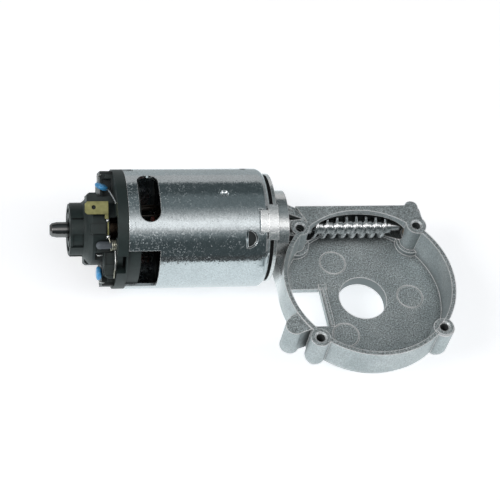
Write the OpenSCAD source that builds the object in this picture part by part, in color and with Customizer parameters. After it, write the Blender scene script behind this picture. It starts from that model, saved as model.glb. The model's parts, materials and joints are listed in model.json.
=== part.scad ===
// Brushed worm-gear motor: a steel-can motor on an open die-cast worm-gear housing.
// The origin is on the output bore's axis, level with the gear chamber's floor.
// X runs along the motor towards the worm, Z points out of the open chamber.

/* [Gear housing] */
// Distance from the output bore's axis to the worm's axis
centre_distance = 29.5; // [28.5:0.1:30.5]
// Height of the worm's axis above the chamber floor
axis_z = 6.2; // [6:0.1:6.6]
// Height of the chamber's rim above its floor
rim_z = 13.7; // [13.5:0.1:15]
// Inner radius of the chamber at its rim
chamber_r = 32; // [31.6:0.1:32.4]
// Thickness of the chamber's side wall
wall = 1.7; // [1.4:0.1:2.2]
// Thickness of the chamber's floor
floor_t = 2.4; // [2:0.1:3]
// Radius of the output bore
bore_r = 9.4; // [8:0.1:10]
// Depth of the output bore
bore_len = 5; // [4:0.1:6]
// Radius of the holes for the cover screws
cover_hole_r = 1.7; // [1.4:0.1:1.9]
// Radius of the tunnel that the worm turns in
tunnel_r = 5.3; // [5.2:0.1:5.5]

/* [Motor can] */
// Outer radius of the can
can_r = 23; // [22.8:0.1:23.4]
// Wall thickness of the can
can_t = 1.2; // [1:0.1:1.4]
// Place of the can's open rear rim along X
can_x0 = -92.4; // [-93:0.1:-92]
// Place of the can's front face along X
can_x1 = -38; // [-38.2:0.1:-37.8]
// Angle by which the motor is turned about its shaft
motor_roll = 30; // [25:1:35]

/* [Rotor] */
// Radius of the armature shaft
shaft_r = 3.25; // [3.2:0.05:3.3]
// Radius of the shaft's free rear end
stub_r = 3; // [2.8:0.1:3]
// Place of the shaft's rear tip along X
shaft_x0 = -120; // [-121:0.5:-119]
// Radius of the shaft's journal under the worm
journal_r = 2; // [1.8:0.1:2.2]
// Outer radius of the worm's thread
worm_r = 4.8; // [4.5:0.1:5]
// Root radius of the worm's thread
worm_root_r = 2.9; // [2.8:0.1:3.2]
// Axial pitch of the worm's single thread
worm_pitch = 3.93; // [3.7:0.01:4.1]
// Radius of the armature's laminated core
core_r = 15.1; // [14.5:0.1:15.2]
// Number of slots in the armature's core
slot_count = 12; // [10:1:14]
// Radius of the commutator
comm_r = 8; // [7.5:0.1:8.5]

/* [Brushes] */
// Place of the brushes' centre along X
brush_x = -98.2; // [-98.3:0.1:-98.1]
// Width of a carbon brush along X
brush_w = 3.2; // [3.1:0.1:3.3]
// Thickness of a carbon brush along its arc
brush_d = 6.4; // [6:0.1:6.6]
// Length of a carbon brush
brush_len = 8; // [7:0.5:8.5]

/* [Hidden] */
$fn = 72;
eps = 0.01;
drum_r = chamber_r + wall;
can_ri = can_r - can_t;
slide_gap = 0.15;
bell_x0 = can_x0 - 4.1;
boss_x0 = -112.9;
boss_x1 = -109;
boss_r = 10.3;
// Raised panels of the boss: first and last angle, repeated on the other side
boss_panels = [[2, 69.5], [73.5, 105], [136, 167]];
dome_r = 13.7;
flange_x0 = -37;
flange_x1 = -35.7;
collar_x0 = -34.3;
collar_x1 = -29.6;
collar_r = 14.5;
flange_r = 21;
worm_x0 = -20.6;
worm_x1 = 14.2;
wheel_end_x = 20.4;
bush_x1 = 24.4;
bush_r = 3.6;
bearing_w = 6;
front_bearing_r = 9.5;
rear_bearing_r = 8.5;
front_bearing_x = -35.8;
rear_bearing_x = -111.9;
core_x0 = -75.5;
core_x1 = -46.5;
comm_x0 = -104.6;
comm_x1 = -93.4;
magnet_ri = core_r + 0.6;
magnet_x0 = -78;
magnet_x1 = -44;
tab_t = 0.8;
tab_w = 4.9;
tab_y = 7;
tab_z = 13.9;
tab_x0 = -107.9;
tab_x1 = -99.1;
choke_y = -7.1;
choke_z = 13.6;
screw_turns = [145, 215];
// Cover screw bosses: place X, place Y, outer radius, height above the rim, depth of the hole
cover_bosses = [[-24.1, 24.2, 3.6, 0, 5], [22.8, 24.7, 4, 0, 4.5], [25.1, -22.3, 4.1, 0.8, 9],
    [-23.2, -25.2, 3.9, 0, 9]];
// height at which the housing's side wall and lower bosses end, above the floor's underside
wall_foot = 0.6;
motor_screw_r = 17.8;
side = [0, 180];

// ---- helpers -------------------------------------------------------------------------------

// Places its children in the motor's own frame: X along the shaft, turned by the motor's roll
module on_axis() {
    translate([0, centre_distance, axis_z]) rotate([motor_roll, 0, 0]) children();
}

// A solid of revolution about the shaft: the profile's x is the radius and its y is the place on X
module turned() {
    rotate([90, 0, 90]) rotate_extrude($fn = 96) children();
}

// A straight ring on the shaft from x0 to x1
module ring(x0, x1, r_out, r_in = 0) {
    turned() translate([r_in, x0]) square([r_out - r_in, x1 - x0]);
}

// A rod along X
module rod_x(x0, x1, r) {
    translate([x0, 0, 0]) rotate([0, 90, 0]) cylinder(r = r, h = x1 - x0);
}

// A piece of a ring between two angles, measured from the local Y towards the local Z
module ring_piece(x0, x1, r_in, r_out, a0, a1) {
    translate([x0, 0, 0]) rotate([90, 0, 90]) rotate([0, 0, a0])
        rotate_extrude(angle = a1 - a0, $fn = 96) translate([r_in, 0]) square([r_out - r_in, x1 - x0]);
}

// A box given by its two opposite corners
module block(a, b) {
    translate(a) cube(b - a);
}

// Points along an arc, from angle a0 to a1
function arc_points(c, r, a0, a1, n = 8) =
    [for (i = [0 : n]) let (a = a0 + (a1 - a0) * i / n) [c[0] + r * cos(a), c[1] + r * sin(a)]];

// One straight piece of round wire between two points
module wire_piece(a, b, r) {
    v = b - a;
    len = norm(v);
    translate(a) rotate([0, acos(v[2] / len), atan2(v[1], v[0])]) cylinder(r = r, h = len, $fn = 16);
}

// A deep-groove ball bearing's outer race, inner race and balls with their cage, from x to x + bearing_w
module outer_race(x, r) {
    difference() {
        ring(x, x + bearing_w, r, r - 1.6);
        turned() translate([ball_track(r), x + bearing_w / 2]) circle(r = ball_size(r) + 0.03, $fn = 72);
    }
}

module inner_race(x, r) {
    difference() {
        ring(x, x + bearing_w, stub_r + 1.5, shaft_r);
        turned() translate([ball_track(r), x + bearing_w / 2]) circle(r = ball_size(r) + 0.03, $fn = 72);
    }
}

function ball_size(r) = (r - stub_r - 3.1) / 2 + 0.55;
function ball_track(r) = (r - 1.6 + stub_r + 1.5) / 2;

module ball_set(x, r, ball_count) {
    for (i = [0 : ball_count - 1]) rotate([i * 360 / ball_count, 0, 0])
        translate([x + bearing_w / 2, ball_track(r), 0]) sphere(r = ball_size(r), $fn = 40);
    // cage between the balls
    difference() {
        ring(x + bearing_w / 2 - 2.7, x + bearing_w / 2 + 2.7, ball_track(r) + 0.4, ball_track(r) - 0.4);
        for (i = [0 : ball_count - 1]) rotate([i * 360 / ball_count, 0, 0])
            translate([x + bearing_w / 2, ball_track(r) - 2, 0]) rotate([-90, 0, 0])
                cylinder(r = ball_size(r) + 0.06, h = 4, $fn = 40);
    }
}

// ---- gear housing --------------------------------------------------------------------------

// The housing's outline, seen from above
module housing_outline() {
    circle(r = drum_r, $fn = 160);
    for (b = cover_bosses) translate([b[0], b[1]]) circle(r = b[2], $fn = 48);
    // straight wall behind the worm, with its two corners
    polygon([[-24.6, 34.2], [21.5, 34.2], [25.2, 31], [26, 26], [20, 20], [-20, 20], [-21.5, 28]]);
    // small lug behind the right-hand boss
    translate([22.2, 33.4]) circle(r = 2.7, $fn = 48);
}

// The outer mass of the housing, before it is hollowed
module housing_body() {
    // side wall with a stepped lower edge
    translate([0, 0, wall_foot]) linear_extrude(rim_z - wall_foot) housing_outline();
    translate([0, 0, -floor_t]) linear_extrude(floor_t + wall_foot + eps) offset(r = -1.4) housing_outline();
    // boss round the output bore, underneath
    translate([0, 0, -bore_len]) cylinder(r1 = bore_r + 3.2, r2 = bore_r + 4, h = bore_len);
    // tube round the worm's tunnel, out to the collar
    translate([0, centre_distance, axis_z]) rod_x(collar_x1 - 1, 25.6, tunnel_r + 1.9);
    // raised pads of the screw bosses
    for (b = cover_bosses) translate([b[0], b[1], wall_foot + 1])
        cylinder(r = b[2] - 0.4, h = rim_z + b[3] - wall_foot - 1);
}

// Columns and pads that stand inside the chamber
module housing_columns() {
    for (i = [0, 1]) translate([cover_bosses[i][0], cover_bosses[i][1], -floor_t / 2])
        cylinder(r1 = cover_bosses[i][2] + 0.2, r2 = cover_bosses[i][2], h = rim_z + floor_t / 2);
    for (i = [2, 3]) translate([cover_bosses[i][0], cover_bosses[i][1], -0.3])
        cylinder(r1 = cover_bosses[i][2] - 0.25, r2 = cover_bosses[i][2] - 0.1, h = rim_z + 0.3);
    for (i = [0, 1]) translate([cover_bosses[i][0], cover_bosses[i][1], -floor_t / 2])
        cylinder(r = 5.6, h = floor_t / 2 + 2.2);
}

// The ring flange and the collar that carry the motor
module housing_flange() {
    translate([0, centre_distance, axis_z]) {
        ring(flange_x0, flange_x1, flange_r);
        ring(flange_x1 - eps, collar_x0 + eps, collar_r - 0.9);
        ring(collar_x0, collar_x1, collar_r);
        // spigot that centres the gasket and the can
        ring(flange_x0 - 2.6, flange_x0 + eps, 10.6);
    }
    on_axis() difference() {
        union() {
            // tongue that hooks over the can's shoulder, and its narrower tip
            ring_piece(can_x1 - 1.6, flange_x1, 17, can_r + 0.9, 73, 106);
            ring_piece(can_x1 - 4.6, can_x1 - 1.5, 22, can_r + 0.6, 78, 99);
        }
        ring(can_x1 - 6, flange_x0, can_r + 0.1);
    }
}

// Ribs between the collar and the drum
module housing_ribs() {
    translate([0, 0, -floor_t + 1]) linear_extrude(rim_z + floor_t - 2.2) {
        polygon([[-31, 33.2], [-31, 31.6], [-21.5, 27.4], [-21.5, 29]]);
        polygon([[-31, 28.1], [-31, 26.9], [-21.5, 27.2], [-21.5, 28.4]]);
        polygon([[-31, 23.4], [-31, 22], [-24, 20.4], [-24, 21.8]]);
        polygon([[-31, 37.6], [-31, 36], [-24.4, 32.6], [-24.4, 34.2]]);
    }
    // web under the collar, down to the drum's left side
    translate([0, 0, -floor_t + 1]) linear_extrude(rim_z - 4)
        polygon([[-34.2, 22], [-34.2, 14], [-33.2, 4], [-30, 4], [-24, 20], [-24, 24], [-31, 26]]);
}

// Rough-cast lug at the lower left of the drum, almost as high as the rim
module housing_lug() {
    translate([-32.1, -19.8, -0.9]) cylinder(r = 3.7, h = rim_z - 0.3 + 0.9);
    translate([0, 0, wall_foot + 0.2]) linear_extrude(rim_z - 0.5 - wall_foot)
        polygon([[-34.5, -17.9], [-33.5, -15.8], [-31.2, -14.5], [-28.9, -12.8],
            [-25.4, -20.6], [-26.4, -21.6], [-31.3, -23.3]]);
}

// Window in the chamber's floor, bounded by the drum's wall
module floor_window() {
    intersection() {
        translate([0, 0, -10]) cylinder(r = chamber_r - 2.2, h = 10.1, $fn = 160);
        translate([0, 0, -10]) linear_extrude(10.1)
            polygon([[-40, 4.4], [-16.6, 4.4], [-15.4, -12.4], [-40, -12.4]]);
    }
}

module gear_housing() {
    color("lightgrey") difference() {
        union() {
            difference() {
                union() {
                    housing_body();
                    housing_flange();
                    housing_ribs();
                    housing_lug();
                }
                // gear chamber, with a little draft
                cylinder(r1 = chamber_r - 0.7, r2 = chamber_r, h = rim_z, $fn = 160);
                translate([0, 0, rim_z - eps]) cylinder(r = chamber_r, h = 3, $fn = 160);
            }
            housing_columns();
            // raised edge along two sides of the window
            difference() {
                translate([0, 0, -eps]) linear_extrude(0.9)
                    polygon([[-15.7, 4.6], [-14.4, 4.6], [-13.2, -12.4], [-14.5, -12.4]]);
                floor_window();
            }
            translate([0, 0, -eps]) linear_extrude(0.5) polygon([[-17, 6.4], [-13.8, 6.4], [-13.8, 4.2], [-17, 4.2]]);
        }
        floor_window();
        // output bore
        translate([0, 0, -10]) cylinder(r = bore_r, h = 20);
        // cover screw holes
        for (b = cover_bosses) {
            translate([b[0], b[1], rim_z + b[3] - b[4]]) cylinder(r = cover_hole_r, h = 20, $fn = 48);
            translate([b[0], b[1], rim_z + b[3] - 0.5])
                cylinder(r1 = cover_hole_r, r2 = cover_hole_r + 0.6, h = 0.5 + eps, $fn = 48);
        }
        // pocket between the ribs beside the upper left boss
        translate([0, 0, rim_z - 6.5]) linear_extrude(10)
            polygon([[-28.6, 31.2], [-22.4, 28.35], [-28.6, 27.9]]);
        // ejector marks on the floor
        for (a = [0, 120, 240]) rotate([0, 0, a + 0.5]) translate([19, 0, -0.25]) difference() {
            cylinder(r = 5.3, h = 1, $fn = 48);
            translate([0, 0, -1]) cylinder(r = 4.9, h = 3, $fn = 48);
        }
        translate([0, centre_distance, axis_z]) {
            // tunnel for the worm, pocket for its end bush and pocket for the front bearing
            rod_x(-32, wheel_end_x, tunnel_r);
            rod_x(wheel_end_x - eps, bush_x1, bush_r);
            ring(front_bearing_x - 10, front_bearing_x + bearing_w, front_bearing_r);
        }
        // holes for the motor screws
        on_axis() for (a = screw_turns) rotate([a, 0, 0]) translate([0, 0, motor_screw_r]) rod_x(-40, -35.5, 1.7);
    }
}

// ---- motor can -----------------------------------------------------------------------------

// The can's cup, drawn from sheet with a rounded front shoulder
module can_cup() {
    turned() polygon(concat([[can_r, can_x0]], arc_points([can_r - 3, can_x1 - 3], 3, 0, 90),
        [[11, can_x1], [11, can_x1 - 1.4]], arc_points([can_r - 3.2, can_x1 - 3.4], 2, 90, 0),
        [[can_ri, can_x1 - 5], [can_ri, can_x0]]));
}

// A slot round the can, with round ends, from angle a0 to a1
module vent_slot(x, w, a0, a1) {
    end = asin(w / 2 / can_r);
    ring_piece(x - w / 2, x + w / 2, can_ri - 2, can_r + 2, a0 + end, a1 - end);
    for (a = [a0 + end, a1 - end]) rotate([a, 0, 0]) translate([x, can_ri - 2, 0])
        rotate([-90, 0, 0]) cylinder(r = w / 2 - 0.02, h = 6);
}

module motor_can() {
    color("silver") on_axis() difference() {
        can_cup();
        // cooling slot and the open notch at the rear rim
        vent_slot(-84.3, 8, 33, 88);
        ring_piece(can_x0 - 1, -80.5, can_ri - 2, can_r + 2, 115.5, 166);
        for (a = side) rotate([a, 0, 0]) {
            // staking notch at the rear rim
            ring_piece(can_x0 - 1, can_x0 + 4, can_ri - 2, can_r + 2, 9, 21);
            // half-moon lance that locks the tongue, with its edge pressed in
            rotate([105.4, 0, 0]) translate([-47.2, 0, 0]) rotate([-90, 0, 0]) {
                translate([0, 0, can_ri - 2]) intersection() {
                    cylinder(r = 3.05, h = 6);
                    translate([0.15, -5, -1]) cube([10, 10, 8]);
                }
                intersection() {
                    translate([0, 0, can_r - 1]) cylinder(r1 = 3.1, r2 = 4.1, h = 1.6);
                    rotate([90, 0, 0]) linear_extrude(10, center = true)
                        polygon([[0.1, can_r - 0.9], [-1.5, can_r + 0.45], [6, can_r + 0.45], [6, can_r - 0.9]]);
                }
            }
            // gap round the tip of the tongue
            difference() {
                ring_piece(can_x1 - 5.05, can_x1 - 3.2, can_r - 1.1, can_r + 1, 76.4, 100.6);
                ring_piece(can_x1 - 4.55, can_x1 - 2, can_r - 2, can_r + 2, 77.8, 99.2);
            }
        }
        // holes for the motor screws
        for (a = screw_turns) rotate([a, 0, 0]) translate([0, 0, motor_screw_r]) rod_x(-46, -36, 1.3);
        // round dimples that locate the magnets
        for (a = [60, 14, 194, 240]) rotate([a, 0, 0]) translate([a % 10 == 0 ? -55.6 : -45.6, can_r + 0.9, 0])
            sphere(r = 1.8, $fn = 32);
    }
}

module mounting_gasket() {
    color("black") on_axis() difference() {
        ring(can_x1, flange_x0, 20.4, 10.8);
        for (a = screw_turns) rotate([a, 0, 0]) translate([0, 0, motor_screw_r]) rod_x(-46, -30, 1.9);
    }
}

module motor_screws() {
    color("silver") on_axis() for (a = screw_turns) rotate([a, 0, 0]) translate([0, 0, motor_screw_r]) difference() {
        union() {
            rod_x(-43.5, flange_x1 + 0.1, 1.25);
            rod_x(flange_x1 + 0.05, flange_x1 + 1.9, 2.6);
        }
        // cross recess
        block([flange_x1 + 1.1, -1.7, -0.3], [flange_x1 + 3, 1.7, 0.3]);
        block([flange_x1 + 1.1, -0.3, -1.7], [flange_x1 + 3, 0.3, 1.7]);
    }
}

module worm_end_bush() {
    color("peru") on_axis() difference() {
        ring(wheel_end_x, bush_x1 - 0.2, bush_r, journal_r + 0.03);
    }
}

module front_bearing_outer_race() {
    color("silver") on_axis() outer_race(front_bearing_x, front_bearing_r);
}

module front_bearing_balls() {
    color("silver") on_axis() ball_set(front_bearing_x, front_bearing_r, 7);
}

module front_bearing_inner_race() {
    color("silver") on_axis() inner_race(front_bearing_x, front_bearing_r);
}

module rear_bearing_outer_race() {
    color("silver") on_axis() outer_race(rear_bearing_x, rear_bearing_r);
}

module rear_bearing_balls() {
    color("silver") on_axis() ball_set(rear_bearing_x, rear_bearing_r, 8);
}

module rear_bearing_inner_race() {
    color("silver") on_axis() inner_race(rear_bearing_x, rear_bearing_r);
}

// Spring plate that holds the rear bearing in its pocket
module bearing_retainer() {
    color("silver") on_axis() difference() {
        ring(rear_bearing_x + bearing_w, rear_bearing_x + bearing_w + 0.6, 9.4, 5.4);
        for (i = [0 : 5]) rotate([i * 60, 0, 0]) block([-110, 7.6, -0.6], [-100, 12, 0.6]);
    }
}

// ---- magnets -------------------------------------------------------------------------------

module magnet(a) {
    color("dimgrey") on_axis() ring_piece(magnet_x0, magnet_x1, magnet_ri, can_ri - 0.02, a - 62, a + 62);
}

module magnet_upper() { magnet(90); }

module magnet_lower() { magnet(270); }

// Two bent spring clips that push the magnets apart
module magnet_clips() {
    color("silver") on_axis() for (a = side) rotate([a, 0, 0]) {
        ring_piece(-66, -56, can_ri - 0.7, can_ri - 0.02, -25.4, 25.4);
        for (s = [-1, 1]) rotate([s * 24.4, 0, 0]) block([-65.8, can_ri - 4.6, -0.3], [-56.2, can_ri - 0.3, 0.3]);
    }
}

// ---- end bell ------------------------------------------------------------------------------

// The bell's turned outer form
module bell_body() {
    // ring flange against the can's rim, and the skirt inside the can
    ring(bell_x0, can_x0 - 0.15, can_r - 0.1);
    ring(can_x0 - 0.15 - eps, -87.6, can_ri - 0.1);
    // lugs under the can's staking
    for (a = side) ring_piece(can_x0 - 0.5, can_x0 + 3.6, can_ri - 1, can_r - 0.5, a + 9.8, a + 20.2);
    // dome over the commutator
    turned() polygon([[0, bell_x0 + 1], [0, boss_x1 - 1], [boss_r - 0.7, boss_x1 - 1], [boss_r - 0.7, -108],
        [boss_r + 0.1, -107.9], [boss_r + 0.8, -107], [boss_r + 2, -106.1], [dome_r, -104.8],
        [dome_r, bell_x0 + 1]]);
    // bearing boss with its raised panels
    ring(boss_x0 + 0.5, boss_x1, boss_r - 0.7);
    ring(boss_x0, boss_x0 + 1, boss_r - 0.4);
    for (a = side) for (b = boss_panels)
        ring_piece(boss_x0 + 0.4, -107.7, 8.6, boss_r, a + b[0], a + b[1]);
}

// One brush holder with its chamfered block, along the local Y
module brush_holder() {
    block([-101.2, 8, -6], [bell_x0 + 0.7, 15, 6.4]);
    block([-101.1, 8.2, -4.9], [bell_x0 + 0.5, 21, 4.9]);
    // chamfered block that carries the terminal
    translate([-107.2, 0, 3]) linear_extrude(7.2)
        polygon([[0.4, 12.4], [1.4, 13.2], [4, 13.2], [4.6, 11.6], [8, 11.6], [11.1, 12.6], [11.1, 4], [0.4, 4]]);
    // rest of the terminal's blade
    block([-104.6, 4.9, 9], [-100.6, 9.1, tab_z - 0.05]);
    block([bell_x0 - 2.8, 8.4, -7.4], [bell_x0 + 1, 20.4, 7.4]);
}

// Details that stand on one face of the bell
module bell_face() {
    // raised pad
    block([-105.9, -2.85, 8], [-100.2, 0.9, 14.5]);
    // cradle of the choke
    block([-103.2, -9.4, 4], [bell_x0 + 1, -4, 11.7]);
    // lower flap with a rounded corner and a raised edge
    translate([0, 0, 3.6]) linear_extrude(8) polygon(concat([[bell_x0 + 1, -9.6], [-100.9, -9.6]],
        arc_points([-98.1, -16.6], 2.8, 180, 270), [[bell_x0 + 1, -19.4]]));
    block([-100.9, -16.4, 11.5], [-100.3, -9.62, 12.3]);
}

module end_bell() {
    color("darkslategrey") on_axis() difference() {
        union() {
            bell_body();
            for (a = side) rotate([a, 0, 0]) {
                brush_holder();
                // feet beside the brush holders
                block([bell_x0 - 4.4, 14.2, -12], [bell_x0 + 1.1, 18.2, -7.2]);
            }
            bell_face();
            rotate([180, 0, 0]) bell_face();
        }
        // pocket for the rear bearing and its retainer
        ring(rear_bearing_x, -105.5, rear_bearing_r);
        ring(rear_bearing_x + bearing_w - 0.05, -105, 9.5);
        // shaft hole and the annular recess round it
        ring(-116, -106, 4.6);
        ring(boss_x0 - 1, boss_x0 + 0.55, 8.4, 6.6);
        // room for the commutator and the hollow of the skirt
        ring(-105.2, -80, 11.4);
        ring(-95.2, -80, 17.4);
        ring(-94, -80, can_ri - 1.7);
        for (a = side) rotate([a, 0, 0]) {
            // channel for the brush guide
            block([brush_x - brush_w / 2 - 0.7, 5, -brush_d / 2 - 0.7],
                [brush_x + brush_w / 2 + 0.7, 21.02, brush_d / 2 + 0.7]);
            // pocket in the outer face of the holder
            block([-100.2, 11.5, 4.25], [bell_x0 - 0.5, 18.7, 8]);
            // gap between the dome and the flap
            block([-103.7, -15, 6.5], [-100.96, -9.7, 12]);
            // cooling window beside the dome, right through the bell's face
            block([-98.55, -4.6, 8.2], [bell_x0 + 6, 3.4, 20.6]);
            // room for the choke's coil
            translate([0, choke_y, choke_z]) rod_x(-99, -94.6, 2.55);
            // recess in the ring flange below the choke
            ring_piece(bell_x0 - 1, -93.1, 19.6, can_r + 1, 121, 141);
        }
    }
}

module brush_guide(a) {
    color("darkgoldenrod") on_axis() rotate([a, 0, 0]) difference() {
        block([brush_x - brush_w / 2 - 0.7, 9.2, -brush_d / 2 - 0.7],
            [brush_x + brush_w / 2 + 0.7, 20.6, brush_d / 2 + 0.7]);
        block([brush_x - brush_w / 2 - 0.1, 9, -brush_d / 2 - 0.1],
            [brush_x + brush_w / 2 + 0.1, 21, brush_d / 2 + 0.1]);
        // slot for the brush's lead
        block([brush_x - 0.6, 12, brush_d / 2 - 1], [brush_x + 0.6, 21, brush_d / 2 + 2]);
    }
}

module brush_guide_upper() { brush_guide(0); }

module brush_guide_lower() { brush_guide(180); }

module carbon_brush(a) {
    color("black") on_axis() rotate([a, 0, 0]) difference() {
        block([brush_x - brush_w / 2, comm_r - 1.4, -brush_d / 2],
            [brush_x + brush_w / 2, comm_r + brush_len, brush_d / 2]);
        // face worn to the commutator's curve
        ring(brush_x - 10, brush_x + 10, comm_r + slide_gap);
        // seat of the spring
        translate([brush_x, comm_r + brush_len - 0.6, 0]) rotate([-90, 0, 0]) cylinder(r = 1.4, h = 2);
    }
}

module carbon_brush_upper() { carbon_brush(0); }

module carbon_brush_lower() { carbon_brush(180); }

module brush_spring(a) {
    y0 = comm_r + brush_len - 0.3;
    color("silver") on_axis() rotate([a, 0, 0]) translate([brush_x, y0, 0]) difference() {
        rotate([-90, 0, 0]) cylinder(r = 1.3, h = 20.7 - y0, $fn = 32);
        translate([0, -1, 0]) rotate([-90, 0, 0]) cylinder(r = 0.9, h = 30, $fn = 32);
        for (i = [0 : 3]) translate([0, 0.75 + i * 1.1, 0]) rotate([-90, 0, 0]) difference() {
            cylinder(r = 3, h = 0.55, $fn = 32);
            translate([i % 2 == 0 ? 0.75 : -2.35, -1, -1]) cube([1.6, 2, 3]);
        }
    }
}

module brush_spring_upper() { brush_spring(0); }

module brush_spring_lower() { brush_spring(180); }

module brush_cap(a) {
    color("dimgrey") on_axis() rotate([a, 0, 0]) {
        block([-101, 21.05, -4.8], [bell_x0 - 0.1, 21.9, 4.8]);
    }
}

module brush_cap_upper() { brush_cap(0); }

module brush_cap_lower() { brush_cap(180); }

// Brass blade terminal with its strip down to the choke
module terminal(a) {
    color("darkkhaki") on_axis() rotate([a, 0, 0]) {
        translate([0, 0, tab_z]) linear_extrude(tab_t) difference() {
            polygon([[tab_x0, tab_y - 1.6], [tab_x0 + 0.9, tab_y - tab_w / 2], [tab_x1, tab_y - tab_w / 2],
                [tab_x1, tab_y + tab_w / 2], [tab_x0 + 0.9, tab_y + tab_w / 2], [tab_x0, tab_y + 1.6]]);
            translate([-104.6, tab_y + 0.2]) circle(r = 0.8, $fn = 32);
        }
        // knee and the narrow strip down to the choke
        block([-100.4, 2.8, tab_z + 0.05], [-99.12, 5, tab_z + tab_t - 0.1]);
        block([-99.5, -4.6, tab_z + 0.1], [-99.0, 4, tab_z + tab_t - 0.2]);
    }
}

module terminal_upper() { terminal(0); }

module terminal_lower() { terminal(180); }

module choke_core(a) {
    color("dimgrey") on_axis() rotate([a, 0, 0]) translate([0, choke_y, choke_z]) {
        rod_x(-102.4, -95.2, 1.5);
        translate([-102.4, 0, 0]) sphere(r = 1.49, $fn = 40);
    }
}

module choke_core_upper() { choke_core(0); }

module choke_core_lower() { choke_core(180); }

// Close-wound coil on the choke's core, as rings that touch
module choke_coil(a) {
    color("darkgoldenrod") on_axis() rotate([a, 0, 0]) translate([0, choke_y, choke_z])
        turned() for (i = [0 : 4]) translate([1.86, -98.3 + i * 0.64]) circle(r = 0.33, $fn = 24);
}

module choke_coil_upper() { choke_coil(0); }

module choke_coil_lower() { choke_coil(180); }

// Blue dipped disc capacitor at a place, its flat side facing along theta and phi
module disc_capacitor(place, theta, phi) {
    color("steelblue") on_axis() translate(place) rotate([0, theta, phi]) intersection() {
        cylinder(r = 2.7, h = 2.2, center = true, $fn = 48);
        sphere(r = 2.8, $fn = 48);
    }
}

module disc_capacitor_upper() { disc_capacitor([-101.1, 15.3, 10.5], 74, 66); }

module disc_capacitor_lower() { disc_capacitor([-102.4, -17.2, 6.8], 90, 0); }

module capacitor_leads() {
    color("silver") on_axis() {
        wire_piece([-98, 13.1, 12.6], [-96.9, 8.3, 19.2], 0.3);
        wire_piece([-101.8, 18.3, 7.9], [-100.5, 20.2, 5.5], 0.3);
        wire_piece([-102.2, -20.3, 6.9], [-100.2, -20.5, 5.6], 0.3);
    }
}

// ---- rotor ---------------------------------------------------------------------------------

module armature_shaft() {
    color("silver") on_axis() turned() polygon([[0, shaft_x0], [stub_r - 1.1, shaft_x0],
        [stub_r - 0.4, shaft_x0 + 0.8], [stub_r, shaft_x0 + 2.6], [stub_r, boss_x0 + 0.3],
        [shaft_r, boss_x0 + 0.5], [shaft_r, worm_x0 - 0.4],
        [journal_r, worm_x0 - 0.4], [journal_r, bush_x1 - 1.2], [journal_r - 0.4, bush_x1 - 0.8],
        [0, bush_x1 - 0.8]]);
}

// The worm's thread: one closed band of points, worked out along the helix
worm_steps = 16;
worm_turns = (worm_x1 - worm_x0 - 3) / worm_pitch;
worm_n = round(worm_turns * worm_steps);
tooth = [[-1.45, worm_root_r - 0.3], [-0.5, worm_r], [0.5, worm_r], [1.45, worm_root_r - 0.3]];

function taper(i) = max(0.12, min(1, min(i, worm_n - i) / (worm_steps * 0.5)));

worm_points = [for (i = [0 : worm_n], p = tooth)
    let (a = -i * 360 / worm_steps, r = worm_root_r - 0.3 + (p[1] - worm_root_r + 0.3) * taper(i))
    [worm_x0 + 1.5 + i * worm_pitch / worm_steps + p[0], r * cos(a), r * sin(a)]];

worm_faces = concat([[0, 1, 2, 3]], [[for (k = [3 : -1 : 0]) worm_n * 4 + k]],
    [for (i = [0 : worm_n - 1], k = [0 : 3], h = [0, 1])
        let (a = i * 4 + k, b = i * 4 + (k + 1) % 4)
        h == 0 ? [a, a + 4, b] : [b, a + 4, b + 4]]);

module worm() {
    color("silver") on_axis() difference() {
        union() {
            ring(worm_x0, worm_x1, worm_root_r);
            polyhedron(points = worm_points, faces = worm_faces, convexity = 10);
        }
        ring(worm_x0 - 1, worm_x1 + 1, journal_r);
    }
}

// Laminated core with slots for the windings
module armature_core() {
    color("grey") on_axis() rotate([90, 0, 90]) translate([0, 0, core_x0]) linear_extrude(core_x1 - core_x0)
        difference() {
            circle(r = core_r, $fn = 96);
            circle(r = shaft_r, $fn = 48);
            for (i = [0 : slot_count - 1]) rotate(i * 360 / slot_count) {
                translate([core_r - 4.6, 0]) circle(r = 1.75, $fn = 24);
                translate([core_r - 4.6, -0.7]) square([6, 1.4]);
            }
        }
}

// Copper bundles in the slots and the rounded coil heads at both ends
module armature_windings() {
    color("peru") on_axis() {
        for (i = [0 : slot_count - 1]) rotate([i * 360 / slot_count, 0, 0])
            translate([0, core_r - 4.6, 0]) rod_x(core_x0 - 3.2, core_x1 + 3.2, 1.5);
        turned() coil_head(core_x1 + 0.9, core_x1 + 5.9);
        turned() coil_head(core_x0 - 5.9, core_x0 - 0.9);
        // leads to the commutator
        for (i = [0 : slot_count - 1]) rotate([i * 360 / slot_count, 0, 0])
            wire_piece([core_x0 - 4, 8.6, 0], [comm_x1 + 0.5, 8.3, 0], 0.4);
    }
}

// Half section of a coil head, from x0 to x1, with rounded edges
module coil_head(x0, x1) {
    polygon(concat(arc_points([11.3, x1 - 1.6], 1.6, 0, 90), arc_points([7.8, x1 - 1.6], 1.6, 90, 180),
        arc_points([7.8, x0 + 1.6], 1.6, 180, 270), arc_points([11.3, x0 + 1.6], 1.6, 270, 360)));
}

// Insulating end discs and sleeve of the core
module slot_insulators() {
    color("firebrick") on_axis() {
        for (x = [core_x0 - 0.85, core_x1 + 0.05]) difference() {
            ring(x, x + 0.8, 13.4, shaft_r + 0.9);
            for (i = [0 : slot_count - 1]) rotate([i * 360 / slot_count, 0, 0])
                translate([0, core_r - 4.6, 0]) rod_x(x - 1, x + 2, 1.55);
        }
        ring(core_x0 - 5, core_x0 - 0.85, shaft_r + 1.9, shaft_r);
        ring(core_x1 + 0.85, core_x1 + 5, shaft_r + 1.9, shaft_r);
    }
}

module commutator_hub() {
    color("saddlebrown") on_axis() {
        ring(comm_x0, comm_x1 + 2.4, comm_r - 2, shaft_r);
    }
}

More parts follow.
